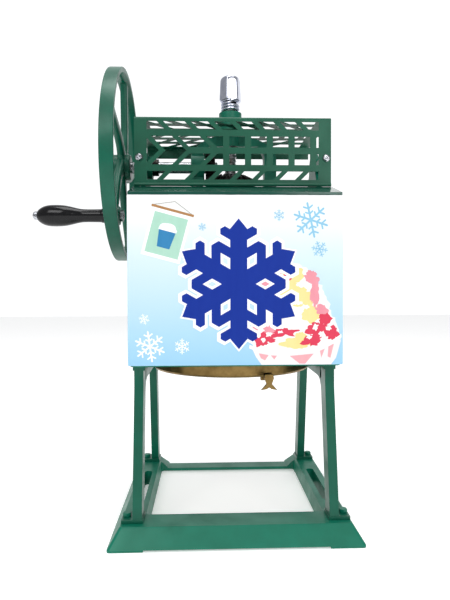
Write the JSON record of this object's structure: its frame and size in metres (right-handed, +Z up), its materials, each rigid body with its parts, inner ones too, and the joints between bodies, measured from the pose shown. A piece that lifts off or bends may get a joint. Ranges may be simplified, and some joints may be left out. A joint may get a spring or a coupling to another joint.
{
  "type": "shaved ice machine",
  "caption": "Hand-cranked block ice shaver: cast frame, spoked hand wheel, bevel gears under a pierced cover, feed spindle with spiked plate, blade disc and printed front panel.",
  "frame": {"origin": "on the floor, below the middle of the whole object's box", "axes": "+Z up, -Y towards the operator and the printed panel, -X towards the hand wheel"},
  "size_m": [0.481, 0.36, 0.7188],
  "materials": {
    "green_enamel": "glossy green stoving enamel over sand-cast iron",
    "bright_steel": "turned and zinc-plated steel",
    "dark_steel": "oiled dark steel and cast gear iron",
    "chrome": "polished chrome plate",
    "brass": "aged cast brass, golden brown",
    "printed_panel": "printed panel, white fading to pale blue, satin",
    "black_lacquer": "glossy black turned grip",
    "black_enamel": "black enamelled hub cap"
  },
  "bodies": {
    "frame": {"base_frame": "green_enamel", "left_leg_frame": "green_enamel", "right_leg_frame": "green_enamel", "foot_bolt_front_left": "green_enamel", "foot_bolt_front_right": "green_enamel", "foot_bolt_rear_left": "green_enamel", "foot_bolt_rear_right": "green_enamel", "deck_bolt_front_left": "green_enamel", "deck_bolt_front_right": "green_enamel", "deck_bolt_rear_left": "green_enamel", "deck_bolt_rear_right": "green_enamel", "lower_deck": "green_enamel", "blade_disc": "brass", "disc_screw_1": "bright_steel", "disc_screw_2": "bright_steel", "disc_screw_3": "bright_steel", "pillar_front_left": "green_enamel", "pillar_front_right": "green_enamel", "pillar_rear_left": "green_enamel", "pillar_rear_right": "green_enamel", "sign_panel": "printed_panel", "hood": "green_enamel", "spindle_bush": "brass", "left_cheek": "green_enamel", "right_cheek": "green_enamel", "gear_cover": "green_enamel", "cover_screw_left": "bright_steel", "cover_screw_right": "bright_steel", "gear_bridge": "green_enamel", "feed_nut": "brass", "bridge_bolt_1": "bright_steel", "bridge_bolt_2": "bright_steel", "bridge_bolt_3": "bright_steel", "bridge_bolt_4": "bright_steel", "thrust_washer": "brass", "buffer_spring": "chrome", "knob_washer": "chrome", "outer_bush": "brass", "inner_bush": "brass"},
    "crank": {"flywheel": "green_enamel", "hub_cap": "black_enamel", "crank_shaft": "bright_steel", "shaft_collar": "dark_steel", "handle_stud": "bright_steel", "acorn_nut": "bright_steel", "pinion_gear": "dark_steel"},
    "grip": {"grip": "black_lacquer"},
    "crown": {"crown_gear": "dark_steel"},
    "feed": {"spindle": "bright_steel", "pressure_plate": "bright_steel", "plate_nut": "bright_steel", "knob": "chrome"},
    "cutter": {"blade_holder": "dark_steel", "blade": "bright_steel", "blade_clamp": "bright_steel", "adjusting_lever": "brass"}
  },
  "joints": [
    {"name": "crank_spin", "type": "hinge", "parent": "frame", "child": "crank", "pos_m": [-0.0895, 0, 0.5633], "axis": [1, 0, 0], "continuous": true},
    {"name": "grip_spin", "type": "hinge", "parent": "crank", "child": "grip", "pos_m": [-0.1795, -0.09263, 0.47067], "axis": [1, 0, 0], "continuous": true},
    {"name": "crown_spin", "type": "hinge", "parent": "frame", "child": "crown", "pos_m": [0.0605, 0, 0.53], "axis": [0, 0, 1], "continuous": true},
    {"name": "spindle_feed", "type": "slide", "parent": "crown", "child": "feed", "axis": [0, 0, 1], "range_m": [0, 0.15]},
    {"name": "blade_tilt", "type": "hinge", "parent": "frame", "child": "cutter", "pos_m": [0.1095, -0.06, 0.23], "axis": [0, 1, 0], "range_deg": [-4, 4]}
  ],
  "couplings": [
    {"joint": "crown_spin", "follows": "crank_spin", "ratio": -0.58333}
  ]
}
